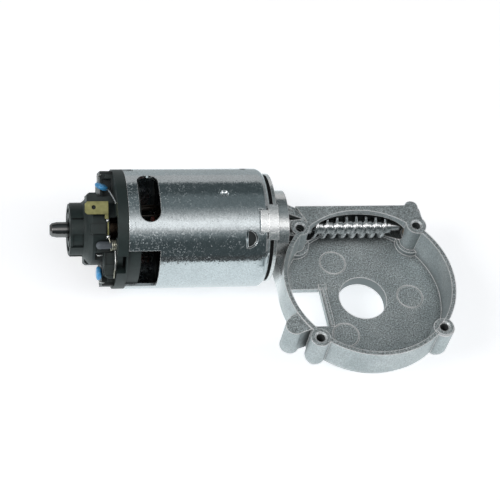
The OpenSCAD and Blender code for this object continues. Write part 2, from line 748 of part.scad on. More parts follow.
// Copper bars with their hooks
module commutator_segments() {
    color("peru") on_axis() for (i = [0 : slot_count - 1]) {
        a = i * 360 / slot_count;
        ring_piece(comm_x0 + 0.4, comm_x1, comm_r - 2 + 0.01, comm_r, a - 13.6, a + 13.6);
        ring_piece(comm_x1 - 1.4, comm_x1 + 0.2, comm_r - 1, comm_r + 0.9, a - 5, a + 5);
    }
}

// Fibre and steel washers on the shaft
module shaft_washers() {
    color("wheat") on_axis() {
        ring(comm_x0 - 0.6, comm_x0 - 0.1, 5.2, shaft_r);
        ring(comm_x0 - 1.2, comm_x0 - 0.7, 4.9, shaft_r);
        ring(front_bearing_x - 1.4, front_bearing_x - 0.1, 4.4, shaft_r);
    }
}

gear_housing();
motor_can();
mounting_gasket();
motor_screws();
worm_end_bush();
front_bearing_outer_race();
front_bearing_balls();
front_bearing_inner_race();
rear_bearing_outer_race();
rear_bearing_balls();
rear_bearing_inner_race();
bearing_retainer();
magnet_upper();
magnet_lower();
magnet_clips();
end_bell();
brush_guide_upper();
brush_guide_lower();
carbon_brush_upper();
carbon_brush_lower();
brush_spring_upper();
brush_spring_lower();
brush_cap_upper();
brush_cap_lower();
terminal_upper();
terminal_lower();
choke_core_upper();
choke_core_lower();
choke_coil_upper();
choke_coil_lower();
disc_capacitor_upper();
disc_capacitor_lower();
capacitor_leads();
armature_shaft();
worm();
armature_core();
armature_windings();
slot_insulators();
commutator_hub();
commutator_segments();
shaft_washers();
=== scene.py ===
import json
import math
import bpy
import bmesh
from mathutils import Euler, Matrix, Vector


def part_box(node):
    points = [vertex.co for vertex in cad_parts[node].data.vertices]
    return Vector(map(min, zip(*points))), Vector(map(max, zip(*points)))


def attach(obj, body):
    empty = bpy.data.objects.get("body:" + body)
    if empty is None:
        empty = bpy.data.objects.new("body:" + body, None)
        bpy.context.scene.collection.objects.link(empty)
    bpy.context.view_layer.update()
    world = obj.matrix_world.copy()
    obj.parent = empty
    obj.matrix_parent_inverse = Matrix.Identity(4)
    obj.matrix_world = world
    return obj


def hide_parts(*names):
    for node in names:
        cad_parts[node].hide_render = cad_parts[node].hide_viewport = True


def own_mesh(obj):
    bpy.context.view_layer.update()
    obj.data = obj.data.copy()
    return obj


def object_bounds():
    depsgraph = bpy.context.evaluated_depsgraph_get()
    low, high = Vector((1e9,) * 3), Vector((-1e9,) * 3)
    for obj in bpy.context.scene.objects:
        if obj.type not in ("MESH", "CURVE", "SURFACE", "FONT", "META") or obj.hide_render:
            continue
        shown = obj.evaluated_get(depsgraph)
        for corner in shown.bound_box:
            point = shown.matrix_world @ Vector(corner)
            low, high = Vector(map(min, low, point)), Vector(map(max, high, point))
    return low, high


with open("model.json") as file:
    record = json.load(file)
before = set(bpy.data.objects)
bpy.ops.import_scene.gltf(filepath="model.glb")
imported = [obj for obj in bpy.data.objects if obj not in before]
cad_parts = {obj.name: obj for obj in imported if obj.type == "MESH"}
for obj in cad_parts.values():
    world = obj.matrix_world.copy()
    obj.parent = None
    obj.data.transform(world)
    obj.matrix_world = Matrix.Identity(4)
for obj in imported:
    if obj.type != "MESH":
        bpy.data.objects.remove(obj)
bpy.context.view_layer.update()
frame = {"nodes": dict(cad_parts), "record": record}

MM = 0.001
TAU = 2 * math.pi

# ---- named sizes and places, in millimetres, from the record and the CAD nodes ---------------
joints = {j["name"]: j for j in frame["record"]["behaviour"]["joints"]}
axis_y = joints["rotor_spin"]["pos_m"][1] / MM
axis_z = joints["rotor_spin"]["pos_m"][2] / MM
motor_roll = 30.0


def low_high(node):
    """The two corners of a CAD node's box, in mm."""
    low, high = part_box(node)
    return Vector(low) / MM, Vector(high) / MM


worm_low, worm_high = low_high("worm")
core_low, core_high = low_high("armature_core")
comm_high = low_high("commutator_segments")[1]
worm_r = (worm_high.z - worm_low.z) / 2
core_r = (core_high.z - core_low.z) / 2
worm_root_r = 2.9
worm_pitch = 3.93
journal_r = 2.0
bore_r = next(m for m in frame["record"]["mounts"] if m["name"] == "output_bore")["dims"]["r_mm"]
choke_y, choke_z = -7.1, 13.6
brush_x = -98.2
# each disc capacitor's middle, its tilt from the shaft's plane and its turn, in degrees
disc_places = {"upper": (Vector((-101.1, 15.3, 10.5)), 74, 66),
               "lower": (Vector((-102.4, -17.2, 6.8)), 90, 0)}

# The motor's own frame: X along the shaft, Y and Z turned by the motor's roll
motor_place = Matrix.Translation((0, axis_y * MM, axis_z * MM))
motor = motor_place @ Matrix.Rotation(math.radians(motor_roll), 4, "X")


def m_point(x, y, z, turn=0.0):
    """A place in the motor's frame, in mm, turned about the shaft, as metres in the shared frame."""
    return motor @ Matrix.Rotation(math.radians(turn), 4, "X") @ (Vector((x, y, z)) * MM)


# ---- materials -------------------------------------------------------------------------------
def shade(colour, factor):
    """A colour made darker or lighter by a factor."""
    return tuple(min(1, c * factor) for c in colour)


class Paint:
    """A small builder for node materials. Lengths inside patterns are in millimetres."""

    def __init__(self, name, metal=0.0, rough=0.5, colour=(0.5, 0.5, 0.5)):
        self.material = bpy.data.materials.new(name)
        self.material.use_nodes = True
        self.tree = self.material.node_tree
        self.tree.nodes.clear()
        self.out = self.tree.nodes.new("ShaderNodeOutputMaterial")
        self.shader = self.tree.nodes.new("ShaderNodeBsdfPrincipled")
        self.link(self.shader.outputs["BSDF"], self.out.inputs["Surface"])
        self.shader.inputs["Metallic"].default_value = metal
        self.shader.inputs["Roughness"].default_value = rough
        self.shader.inputs["Base Color"].default_value = (*colour, 1)
        self.place = self.tree.nodes.new("ShaderNodeTexCoord").outputs["Object"]
        self.normal = None

    def link(self, a, b):
        self.tree.links.new(a, b)

    def node(self, kind, values, **props):
        made = self.tree.nodes.new(kind)
        for key, value in props.items():
            setattr(made, key, value)
        for key, value in values.items():
            socket = made.inputs[key]
            if isinstance(value, bpy.types.NodeSocket):
                self.link(value, socket)
            elif value is not None:
                socket.default_value = value
        return made

    def stretched(self, scale):
        """Object coordinates, stretched along each axis."""
        values = {"Vector": self.place, "Scale": scale}
        return self.node("ShaderNodeMapping", values, vector_type="POINT").outputs[0]

    def noise(self, size, detail=3.0, rough=0.55, vector=None):
        made = self.node("ShaderNodeTexNoise", {"Vector": vector or self.place, "Scale": 1 / (size * MM),
                                                "Detail": detail, "Roughness": rough})
        return made.outputs["Fac"]

    def cells(self, size):
        """Random colours, one for each crystal."""
        values = {"Vector": self.place, "Scale": 1 / (size * MM)}
        return self.node("ShaderNodeTexVoronoi", values).outputs["Color"]

    def ramp(self, factor, *stops):
        made = self.node("ShaderNodeValToRGB", {"Fac": factor})
        band = made.color_ramp
        while len(band.elements) < len(stops):
            band.elements.new(0.5)
        for element, (at, colour) in zip(band.elements, stops):
            element.position = at
            colour = (colour,) * 3 if isinstance(colour, (int, float)) else colour
            element.color = (*colour, 1)
        return made.outputs["Color"]

    def mix(self, factor, a, b, blend="MIX"):
        made = self.node("ShaderNodeMix", {}, data_type="RGBA", blend_type=blend)
        sockets = {"Factor": made.inputs[0], "A": made.inputs[6], "B": made.inputs[7]}
        for key, value in (("Factor", factor), ("A", a), ("B", b)):
            if isinstance(value, bpy.types.NodeSocket):
                self.link(value, sockets[key])
            else:
                sockets[key].default_value = value if key == "Factor" else (*value, 1)
        return made.outputs[2]

    def maths(self, kind, a, b=0.0, clamp=False):
        return self.node("ShaderNodeMath", {0: a, 1: b}, operation=kind, use_clamp=clamp).outputs[0]

    def times(self, a, b):
        return self.maths("MULTIPLY", a, b)

    def plus(self, a, b):
        return self.maths("ADD", a, b)

    def less(self, a, b):
        return self.maths("SUBTRACT", a, b)

    def vector(self, kind, values, result="Vector"):
        return self.node("ShaderNodeVectorMath", values, operation=kind).outputs[result]

    def surface_normal(self):
        return self.node("ShaderNodeNewGeometry", {}).outputs["Normal"]

    def between(self, value, low, high, out_low=0.0, out_high=1.0):
        return self.node("ShaderNodeMapRange", {"Value": value, "From Min": low, "From Max": high,
                                                "To Min": out_low, "To Max": out_high}).outputs[0]

    def axis(self, name, vector=None):
        return self.node("ShaderNodeSeparateXYZ", {"Vector": vector or self.place}).outputs[name]

    def soften(self, radius):
        """Rounds the look of the edges by a radius in mm."""
        self.normal = self.node("ShaderNodeBevel", {"Radius": radius * MM}, samples=6).outputs[0]
        return self

    def edge(self, radius, low=0.05, high=0.4):
        """How near a point is to an edge, from 0 to 1: used for painted edge highlights and for dust on edges.
        """
        bent = self.node("ShaderNodeBevel", {"Radius": radius * MM}, samples=6).outputs[0]
        dot = self.vector("DOT_PRODUCT", {0: bent, 1: self.surface_normal()}, "Value")
        return self.between(self.less(1.0, dot), low, high)

    def painted_crevice_shade(self, colour, reach, low=0.35, high=0.85, dark=0.4):
        """Darkens a colour where the surface is closed in within a reach in mm: painted shade in crevices and
        gaps.
        """
        shut = self.node("ShaderNodeAmbientOcclusion", {"Distance": reach * MM}, samples=8).outputs["AO"]
        tone = self.between(shut, low, high, dark, 1.0)
        return self.mix(1.0, colour, tone, "MULTIPLY")

    def bump(self, height, depth, strength=1.0):
        """Adds relief of a depth in mm."""
        values = {"Height": height, "Distance": depth * MM, "Strength": strength}
        if self.normal is not None:
            values["Normal"] = self.normal
        self.normal = self.node("ShaderNodeBump", values).outputs[0]
        return self

    def tilt(self, cell_colour, amount):
        """Tilts the surface a little, differently in each crystal."""
        start = self.surface_normal() if self.normal is None else self.normal
        centred = self.vector("SUBTRACT", {0: cell_colour, 1: (0.5, 0.5, 0.5)})
        scaled = self.vector("SCALE", {0: centred, "Scale": amount})
        self.normal = self.vector("NORMALIZE", {0: self.vector("ADD", {0: start, 1: scaled})})
        return self

    def finish(self, colour=None, rough=None, metal=None, **fixed):
        for key, value in (("Base Color", colour), ("Roughness", rough), ("Metallic", metal)):
            if value is not None:
                self.link(value, self.shader.inputs[key])
        if self.normal is not None:
            self.link(self.normal, self.shader.inputs["Normal"])
        for key, value in fixed.items():
            self.shader.inputs[key.replace("_", " ").title().replace("Ior", "IOR")].default_value = value
        return self.material


def cast_metal(name):
    """Die-cast zinc: sandy in the chamber and on the drum, smoother and brighter on the collar."""
    drum_end, collar_end = -26.5 * MM, -29.5 * MM
    collar_foot, collar_middle = -4 * MM, 4 * MM
    rim_below, rim_above = 13.55 * MM, 13.65 * MM
    p = Paint(name, metal=0.7)
    cloud = p.noise(14, 4)
    sand = p.noise(0.52, 3, 0.7)
    pits = p.noise(1.5, 4, 0.65)
    on_collar = p.between(p.axis("X"), drum_end, collar_end)
    skin = p.times(on_collar, p.between(p.axis("Y"), collar_foot, collar_middle))
    from_middle = p.vector("LENGTH", {0: p.stretched((1, 1, 0))}, "Value")
    bored = p.between(from_middle, bore_r * MM * 1.015, bore_r * MM * 1.003)
    base = p.ramp(cloud, (0.3, (0.45, 0.50, 0.51)), (0.5, (0.54, 0.585, 0.595)), (0.72, (0.65, 0.69, 0.695)))
    base = p.mix(p.times(skin, 0.85), base, (0.97, 0.98, 0.98))
    # the sand shows most on the level faces; the walls and posts are smoother
    level_face = p.between(p.axis("Z", p.surface_normal()), 0.5, 0.9, 0.4, 1.0)
    speck = p.ramp(sand, (0.37, 0.3), (0.5, 0.96), (0.64, 1.75))
    share = p.times(level_face, p.less(0.8, p.times(skin, 0.6)))
    base = p.mix(share, base, speck, "MULTIPLY")
    base = p.mix(p.times(bored, 0.9), base, (0.19, 0.215, 0.22))
    # painted shade: darker where the surface is closed in, in corners, crevices and gaps
    base = p.painted_crevice_shade(base, 5.0)
    # the rim is ground flat, and its edges get a painted white highlight
    ground = p.between(p.axis("Z"), rim_below, rim_above)
    # painted highlight: the edges are made white and less metallic, less so on the collar
    painted_edge_highlight = p.times(p.edge(0.62, 0.01, 0.07), p.less(1.0, p.times(skin, 0.8)))
    base = p.mix(painted_edge_highlight, base, (1.0, 1.0, 1.0))
    base = p.mix(p.times(ground, 0.12), base, (0.72, 0.73, 0.73))
    metal = p.less(p.plus(0.7, p.times(skin, 0.2)), p.times(painted_edge_highlight, 0.75))
    rough = p.less(p.between(sand, 0.3, 0.7, 0.4, 0.58), p.times(ground, 0.12))
    rough = p.less(rough, p.times(skin, 0.2))
    relief = p.times(p.times(sand, level_face), p.less(1.0, p.times(skin, 0.8)))
    p.soften(0.4).bump(relief, 0.16, 0.7).bump(pits, 0.16, 0.35)
    return p.finish(base, rough, metal)


def zinc_sheet(name, cell=0.42, tilt=0.04, base=(0.64, 0.69, 0.71), rough=(0.075, 0.14), edges=0.3,
               flash=0.16, dull=0.45):
    """Bright zinc: a fine spangle in which single crystals flash, more of them towards the can's rear rim."""
    rear_from, rear_to = -60 * MM, -88 * MM
    p = Paint(name, metal=1.0)
    crystal = p.cells(cell)
    value = p.axis("X", crystal)
    cloud = p.noise(9, 4)
    patch = p.noise(2.2, 3)
    rear = p.between(p.axis("X"), rear_from, rear_to)
    colour = p.ramp(value, (0.0, shade(base, 0.88)), (1.0, shade(base, 1.1)))
    colour = p.mix(p.between(cloud, 0.4, 0.75, 0.0, 0.5), colour, shade(base, 0.8))
    # painted highlight: the edges are made white and less metallic
    painted_edge_highlight = p.edge(0.3, 0.02, 0.2)
    colour = p.mix(painted_edge_highlight, colour, (1.0, 1.0, 1.0))
    roughness = p.plus(p.between(value, 0, 1, *rough), p.between(cloud, 0.3, 0.7, -0.03, 0.06))
    # crystals that stand off the sheet's plane, in patches
    single = p.between(p.axis("Z", crystal), 0.8, 0.88)
    share = p.plus(p.between(patch, 0.45, 0.65, 0.06, 0.75), p.times(rear, 0.5))
    standing = p.times(single, share)
    p.soften(edges).tilt(crystal, p.plus(tilt, p.times(standing, flash)))
    # the same crystals are dull where they stand off, and the cut edges are dull too, so that their painted
    # white highlight shows
    metal = p.less(1.0, p.times(standing, dull))
    metal = p.maths("SUBTRACT", metal, p.times(painted_edge_highlight, 0.6), clamp=True)
    return p.finish(colour, roughness, metal)


def turned_metal(name, base, rough=0.22, ring=0.12, depth=0.01, edges=0.15, tarnish=0.25, dark_below=None):
    """Metal with fine turning marks across the shaft."""
    p = Paint(name, metal=1.0)
    marks = p.noise(ring, 2, 0.6, p.stretched((1, 0.02, 0.02)))
    cloud = p.noise(4, 4)
    colour = p.ramp(marks, (0.3, shade(base, 0.86)), (0.7, shade(base, 1.1)))
    colour = p.mix(p.between(cloud, 0.45, 0.8, 0.0, tarnish), colour, shade(base, 0.6))
    if dark_below is not None:
        # the free end is oiled and darker than the ground length inside
        away = p.between(p.axis("X"), dark_below * MM, (dark_below - 1) * MM)
        colour = p.mix(p.times(away, 0.85), colour, (0.13, 0.125, 0.12))
    grain = p.between(marks, 0.3, 0.7, rough * 0.8, rough * 1.25)
    roughness = p.plus(grain, p.between(cloud, 0.3, 0.8, 0.0, 0.1))
    p.soften(edges).bump(marks, depth, 0.5)
    return p.finish(colour, roughness)


def pressed_metal(name, base, rough=0.3, grain=0.8, tarnish=0.4, edges=0.12):
    """Stamped sheet or drawn wire with tarnish and handling marks."""
    p = Paint(name, metal=1.0)
    cloud = p.noise(grain * 3, 5, 0.65)
    fine = p.noise(grain * 0.25, 2, 0.6)
    colour = p.ramp(cloud, (0.3, base), (0.75, shade(base, 1 - tarnish)))
    mottle = p.between(cloud, 0.3, 0.7, rough * 0.8, rough * 1.3)
    roughness = p.plus(mottle, p.between(fine, 0.3, 0.7, -0.04, 0.05))
    p.soften(edges).bump(fine, 0.02, 0.4)
    return p.finish(colour, roughness)


def moulded(name, base, rough=0.45, grain=0.3, depth=0.03, dust=0.25, edges=0.2, coat=0.0):
    """Moulded or pressed material with a mottled skin, lighter at its edges from dust and wear."""
    p = Paint(name, metal=0.0)
    cloud = p.noise(3.5, 4, 0.6)
    fine = p.noise(grain, 3, 0.65)
    colour = p.ramp(cloud, (0.3, shade(base, 0.8)), (0.7, shade(base, 1.25)))
    pale = tuple(min(1, c * 1.5 + 0.05) for c in base)
    colour = p.mix(p.times(p.edge(0.25), dust), colour, pale)
    colour = p.mix(p.between(fine, 0.55, 0.8, 0.0, dust), colour, pale)
    roughness = p.between(fine, 0.3, 0.7, rough * 0.85, min(1, rough * 1.2))
    # painted shade: darker in crevices and gaps
    colour = p.painted_crevice_shade(colour, 3.0, dark=0.3)
    p.soften(edges).bump(fine, depth, 0.5)
    return p.finish(colour, roughness, coat_weight=coat, coat_roughness=0.12)


def laminated(name, sheet=0.5):
    """A stack of thin sheets: fine lines across the shaft."""
    p = Paint(name, metal=0.9)
    within = p.maths("FRACT", p.times(p.axis("X"), 1 / (sheet * MM)))
    line = p.maths("ABSOLUTE", p.less(within, 0.5))
    cloud = p.noise(4, 4)
    colour = p.ramp(line, (0.0, (0.05, 0.05, 0.05)), (0.12, (0.27, 0.26, 0.25)), (0.5, (0.36, 0.35, 0.34)))
    colour = p.mix(p.between(cloud, 0.5, 0.8, 0.0, 0.5), colour, (0.1, 0.085, 0.07))
    p.bump(line, 0.06, 0.6)
    return p.finish(colour, p.between(cloud, 0.3, 0.7, 0.4, 0.6))


def wound(name, base, rough=0.3):
    """Enamelled wire: dark and bright patches under varnish."""
    p = Paint(name, metal=0.85)
    cloud = p.noise(2.2, 4, 0.6)
    fine = p.noise(0.4, 2)
    colour = p.ramp(cloud, (0.3, shade(base, 0.55)), (0.6, base), (0.8, shade(base, 1.25)))
    p.bump(fine, 0.02, 0.3)
    roughness = p.between(fine, 0.3, 0.7, rough * 0.8, rough * 1.3)
    return p.finish(colour, roughness, coat_weight=0.5, coat_roughness=0.15)


looks = {
    "cast_zinc": cast_metal("cast_zinc_alloy"),
    "galvanised_steel": zinc_sheet("galvanised_sheet"),
    "bearing_steel": turned_metal("ground_bearing_steel", (0.72, 0.72, 0.72), 0.16),
    "shaft_steel": turned_metal("ground_shaft_steel", (0.76, 0.765, 0.77), 0.14, dark_below=-100.0),
    "spring_steel": pressed_metal("spring_steel", (0.5, 0.5, 0.52), 0.28),
    "screw_steel": zinc_sheet("zinc_plated_screw", 0.5, 0.04, (0.7, 0.71, 0.74), (0.18, 0.26), 0.12,
                              flash=0.1, dull=0.1),
    "sintered_bronze": moulded("sintered_bronze", (0.42, 0.29, 0.15), 0.5, 0.12, 0.02),
    "black_rubber": moulded("black_rubber", (0.005, 0.005, 0.006), 0.85, 0.4, 0.05, 0.1),
    "ferrite": moulded("ground_ferrite", (0.022, 0.027, 0.028), 0.5, 0.15, 0.02, 0.1),
    "bell_plastic": moulded("glass_filled_phenolic", (0.017, 0.028, 0.027), 0.45, 0.28, 0.04, 0.15),
    "cap_plastic": moulded("black_nylon", (0.02, 0.022, 0.024), 0.4, 0.3, 0.03, 0.2),
    "guide_brass": pressed_metal("stamped_guide_brass", (0.55, 0.43, 0.2), 0.3),
    "terminal_brass": pressed_metal("stamped_terminal_brass", (0.40, 0.385, 0.175), 0.45, 0.9, 0.35),
    "carbon": moulded("pressed_carbon", (0.03, 0.03, 0.032), 0.5, 0.1, 0.02, 0.1),
    "choke_ferrite": moulded("choke_ferrite", (0.10, 0.115, 0.13), 0.5, 0.2, 0.03, 0.3),
    "enamelled_wire": wound("enamelled_brass_wire", (0.60, 0.59, 0.48), 0.28),
    "blue_lacquer": moulded("blue_dipped_epoxy", (0.06, 0.31, 0.62), 0.3, 0.6, 0.05, 0.12, 0.1, 0.6),
    "tinned_wire": pressed_metal("tinned_wire", (0.75, 0.75, 0.74), 0.22, 0.5, 0.2),
    "lamination_steel": laminated("stacked_laminations"),
    "winding_copper": wound("varnished_winding_wire", (0.05, 0.038, 0.028), 0.3),
    "insulator_fibre": moulded("red_fibre_board", (0.3, 0.06, 0.04), 0.6, 0.2, 0.04, 0.2),
    "hub_plastic": moulded("brown_phenolic", (0.09, 0.04, 0.02), 0.4, 0.3, 0.02, 0.2),
    "commutator_copper": turned_metal("turned_copper", (0.075, 0.055, 0.04), 0.25, 0.1, depth=0.02,
                                      tarnish=0.6),
    "washer_fibre": moulded("pale_fibre", (0.5, 0.4, 0.25), 0.6, 0.2, 0.03, 0.2),
}

slot_of = {s["node"]: s["material_slot"] for s in frame["record"]["subparts"]}
for node, slot_name in slot_of.items():
    data = frame["nodes"][node].data
    data.materials.clear()
    data.materials.append(looks[slot_name])


# ---- pieces that stand for simplified solids ---------------------------------------------------
def place_piece(name, mesh, body, slot_name, *nodes):
    """Puts a piece on its body and in its slot, in place of the CAD nodes it stands for."""
    piece = bpy.data.objects.new(name, mesh)
    bpy.context.scene.collection.objects.link(piece)
    mesh.materials.append(looks[slot_name])
    for face in mesh.polygons:
        face.use_smooth = True
    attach(piece, body)
    if nodes:
        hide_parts(*nodes)
    return piece


def finished_mesh(name, mesh):
    """Turns a bmesh into mesh data and frees it."""
    data = bpy.data.meshes.new(name)
    mesh.to_mesh(data)
    mesh.free()
    return data


def ring_faces(mesh, a, b):
    """Joins two rings of vertices with a band of faces."""
    for i in range(len(a)):
        j = (i + 1) % len(a)
        mesh.faces.new((a[i], a[j], b[j], b[i]))


def grid_mesh(name, rows):
    """A tube through rings of points, closed at both ends with a fan."""
    mesh = bmesh.new()
    made = [[mesh.verts.new(point) for point in row] for row in rows]
    for a, b in zip(made, made[1:]):
        ring_faces(mesh, a, b)
    for row in (made[0], made[-1]):
        count = len(row)
        middle = mesh.verts.new(sum((v.co for v in row), Vector()) / count)
        for i in range(count):
            mesh.faces.new((row[i], row[(i + 1) % count], middle))
    bmesh.ops.recalc_face_normals(mesh, faces=mesh.faces)
    return finished_mesh(name, mesh)


def tube(points, radius, sides=10, up=Vector((0.31, 0.54, 0.78))):
    """Rings of points along a path, for a round wire."""
    rows = []
    side_way = None
    for i, point in enumerate(points):
        along = (points[min(i + 1, len(points) - 1)] - points[max(i - 1, 0)]).normalized()
        if side_way is None:
            side_way = along.cross(up).normalized()
        side_way = (side_way - along * side_way.dot(along)).normalized()
        other = along.cross(side_way)
        rows.append([point + (side_way * math.cos(way) + other * math.sin(way)) * radius * MM
                     for way in (TAU * k / sides for k in range(sides))])
    return rows


def smooth_path(points, steps=8):
    """A smooth curve through points."""
    path = []
    for i in range(len(points) - 1):
        before, a = points[max(i - 1, 0)], points[i]
        b, after = points[i + 1], points[min(i + 2, len(points) - 1)]
        for s in range(steps):
            t = s / steps
            path.append(0.5 * ((2 * a) + (b - before) * t + (2 * before - 5 * a + 4 * b - after) * t * t
                               + (3 * a - before - 3 * b + after) * t ** 3))
    path.append(points[-1])
    return path


def grids_mesh(name, grids):
    """Several closed tubes in one mesh."""
    whole = bmesh.new()
    for rows in grids:
        part = grid_mesh("part", rows)
        whole.from_mesh(part)
        bpy.data.meshes.remove(part)
    return finished_mesh(name, whole)


def tubes_mesh(name, paths, radius, sides=10):
    """Several round wires in one mesh."""
    return grids_mesh(name, (tube(path, radius, sides) for path in paths))


def eased(t):
    """From 0 to 1 with a level start and end."""
    t = min(1, max(0, t))
    return t * t * (3 - 2 * t)


# Worm: one smooth left-hand thread, tapering out at both ends
def worm_radius(x, angle):
    """The worm's radius at a place along it and round it."""
    crest, foot = 0.42, 1.38
    blank, runout, first_crest = 0.4, 2.2, 1.5
    turns = (x - worm_low.x - first_crest) / worm_pitch + angle / TAU
    off = abs(turns - round(turns)) * worm_pitch
    flank = min(1, max(0, (foot - off) / (foot - crest)))
    lift = eased(flank) * 0.35 + flank * 0.65
    ends = eased(min(x - worm_low.x - blank, worm_high.x - x - blank) / runout)
    return worm_root_r + (worm_r - worm_root_r) * lift * ends


def worm_mesh():
    around, step, press = 80, 0.11, 0.01
    angles = [TAU * k / around for k in range(around)]

    def ring(x, radius):
        return [m_point(x, radius(x, way) * math.cos(way), radius(x, way) * math.sin(way)) for way in angles]

    steps = int((worm_high.x - worm_low.x) / step)
    rows = [ring(worm_low.x + (worm_high.x - worm_low.x) * i / steps, worm_radius) for i in range(steps + 1)]
    # the bore, back from the front end to the rear end
    rows += [ring(x, lambda *_: journal_r + press) for x in (worm_high.x, worm_low.x)]
    mesh = bmesh.new()
    made = [[mesh.verts.new(point) for point in row] for row in rows]
    for a, b in zip(made, made[1:] + made[:1]):
        ring_faces(mesh, a, b)
    bmesh.ops.recalc_face_normals(mesh, faces=mesh.faces)
    return finished_mesh("worm_thread", mesh)


thread = place_piece("worm_thread", worm_mesh(), "rotor", "shaft_steel", "worm")
thread.data.materials[0] = turned_metal("rolled_thread_steel", (0.80, 0.81, 0.815), 0.1, 1.5, depth=0.001,
                                        edges=0.1, tarnish=0.3)

# Interference chokes: a wire wound on each rod, with its two ends led away
for label, turn in (("upper", 0.0), ("lower", 180.0)):
    coil_r, wire_r, turns, first, last = 1.84, 0.3, 4.6, -98.45, -95.6
    per_turn, start_angle, skipped = 20, 0.9, 6
    coil = []
    for i in range(int(turns * per_turn) + 1):
        way = TAU * i / per_turn + start_angle
        coil.append(m_point(first + (last - first) * i / (turns * per_turn), choke_y + coil_r * math.cos(way),
                            choke_z + coil_r * math.sin(way), turn))
    start = [m_point(x, choke_y + y, choke_z + z, turn) for x, y, z in (
        (-99.25, 3.4, 0.95), (-99.0, 2.5, 1.3))]
    finish = [m_point(x, choke_y - y, choke_z + z, turn) for x, y, z in (
        (-95.6, 2.6, 1.6), (-96.2, 5.0, 1.0), (-97.0, 9.5, -0.2), (-97.2, 12.2, -1.9))]
    path = smooth_path(start, 4)[:-1]
    path += smooth_path([start[-1]] + coil[skipped:], 2)[:-1]
    path += smooth_path([coil[-1]] + finish, 6)
    name = "choke_winding_" + label
    place_piece(name, tubes_mesh(name, [path], wire_r, 12), "motor_frame", "enamelled_wire",
                "choke_coil_" + label)

# Disc capacitors: dipped, with rounded edges and a thicker skirt where the leads come out
for label in ("upper", "lower"):
    around, rings, disc_r, half_thick = 40, 22, 2.65, 1.08
    disc_place, theta, phi = disc_places[label]
    aim_disc = Euler((0, math.radians(theta), math.radians(phi))).to_matrix()
    rows = []
    for i in range(1, rings):
        angle = -math.pi / 2 + math.pi * i / rings
        out = disc_r * max(0.0, math.cos(angle)) ** 0.62
        thick = half_thick * math.copysign(abs(math.sin(angle)) ** 0.75, math.sin(angle))
        row = []
        for k in range(around):
            way = TAU * k / around
            skirt = 1 + 0.05 * math.exp(-((way - math.pi) / 0.5) ** 2)
            local = aim_disc @ Vector((out * skirt * math.cos(way), out * skirt * math.sin(way), thick))
            row.append(m_point(*(disc_place + local)))
        rows.append(row)
    name = "dipped_capacitor_" + label
    place_piece(name, grid_mesh(name, rows), "motor_frame", "blue_lacquer", "disc_capacitor_" + label)

# Leads of the capacitors, and solder where wires meet the terminals
lead_paths = [smooth_path([m_point(*p) for p in path]) for path in (
    ((-98.9, 14.0, 11.4), (-98.3, 13.2, 12.4), (-97.5, 11.2, 15.0), (-97.0, 9.3, 17.9), (-96.85, 8.2, 19.6)),
    ((-102.2, 17.4, 9.6), (-102.3, 18.6, 8.0), (-101.8, 19.8, 6.4), (-100.6, 20.3, 5.5)),
    ((-102.4, -19.6, 6.9), (-102.0, -20.4, 6.6), (-101.0, -20.7, 5.9), (-100.2, -20.6, 5.4)),
    ((-103.3, -10.6, 11.0), (-102.4, -10.7, 11.2), (-101.3, -10.6, 11.1)),
    ((-96.9, -9.2, 15.2), (-96.8, -11.6, 14.9), (-96.85, -14.2, 14.6), (-96.9, -16.2, 14.0)))]
lead_r = 0.3
place_piece("tinned_leads", tubes_mesh("tinned_leads", lead_paths, lead_r), "motor_frame", "tinned_wire",
            "capacitor_leads")


def blob_rows(n, x, y, z, size, turn):
    """Rings of one small pool of solder, lower and wider than a ball."""
    rows, around, rings = [], 20, 12
    for i in range(1, rings):
        angle = -math.pi / 2 + math.pi * i / rings
        row = []
        for k in range(around):
            way = TAU * k / around
            swell = 1 + 0.16 * math.sin(2 * way + n) + 0.08 * math.sin(3 * way + 2 * n)
            row.append(m_point(x + size * swell * math.cos(angle) * math.cos(way),
                               y + size * 1.15 * swell * math.cos(angle) * math.sin(way),
                               z + size * 0.55 * math.sin(angle), turn))
        rows.append(row)
    return rows


solder = [(x, y, z, size, turn) for turn in (0.0, 180.0)
          for x, y, z, size in ((-99.4, 2.2, 14.8, 0.6), (-99.25, choke_y + 3.2, 14.7, 0.7))]
pools = [blob_rows(n, *pool) for n, pool in enumerate(solder)]
place_piece("solder_joints", grids_mesh("solder_joints", pools), "motor_frame", "tinned_wire")

# Brush springs: a coil of wire for each brush
for label, turn, joint in (("upper", 0.0, "upper_brush_slide"), ("lower", 180.0, "lower_brush_slide")):
    low_y, high_y, coil_r, wire_r, turns, per_turn = 16.0, 20.4, 1.06, 0.22, 5.5, 18
    steps = int(turns * per_turn)
    path = [m_point(brush_x + coil_r * math.cos(TAU * i / per_turn), low_y + (high_y - low_y) * i / steps,
                    coil_r * math.sin(TAU * i / per_turn), turn) for i in range(steps + 1)]
    name = "coil_spring_" + label
    piece = place_piece(name, tubes_mesh(name, [path], wire_r, 8), "motor_frame", "spring_steel",
                        "brush_spring_" + label)
    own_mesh(piece)

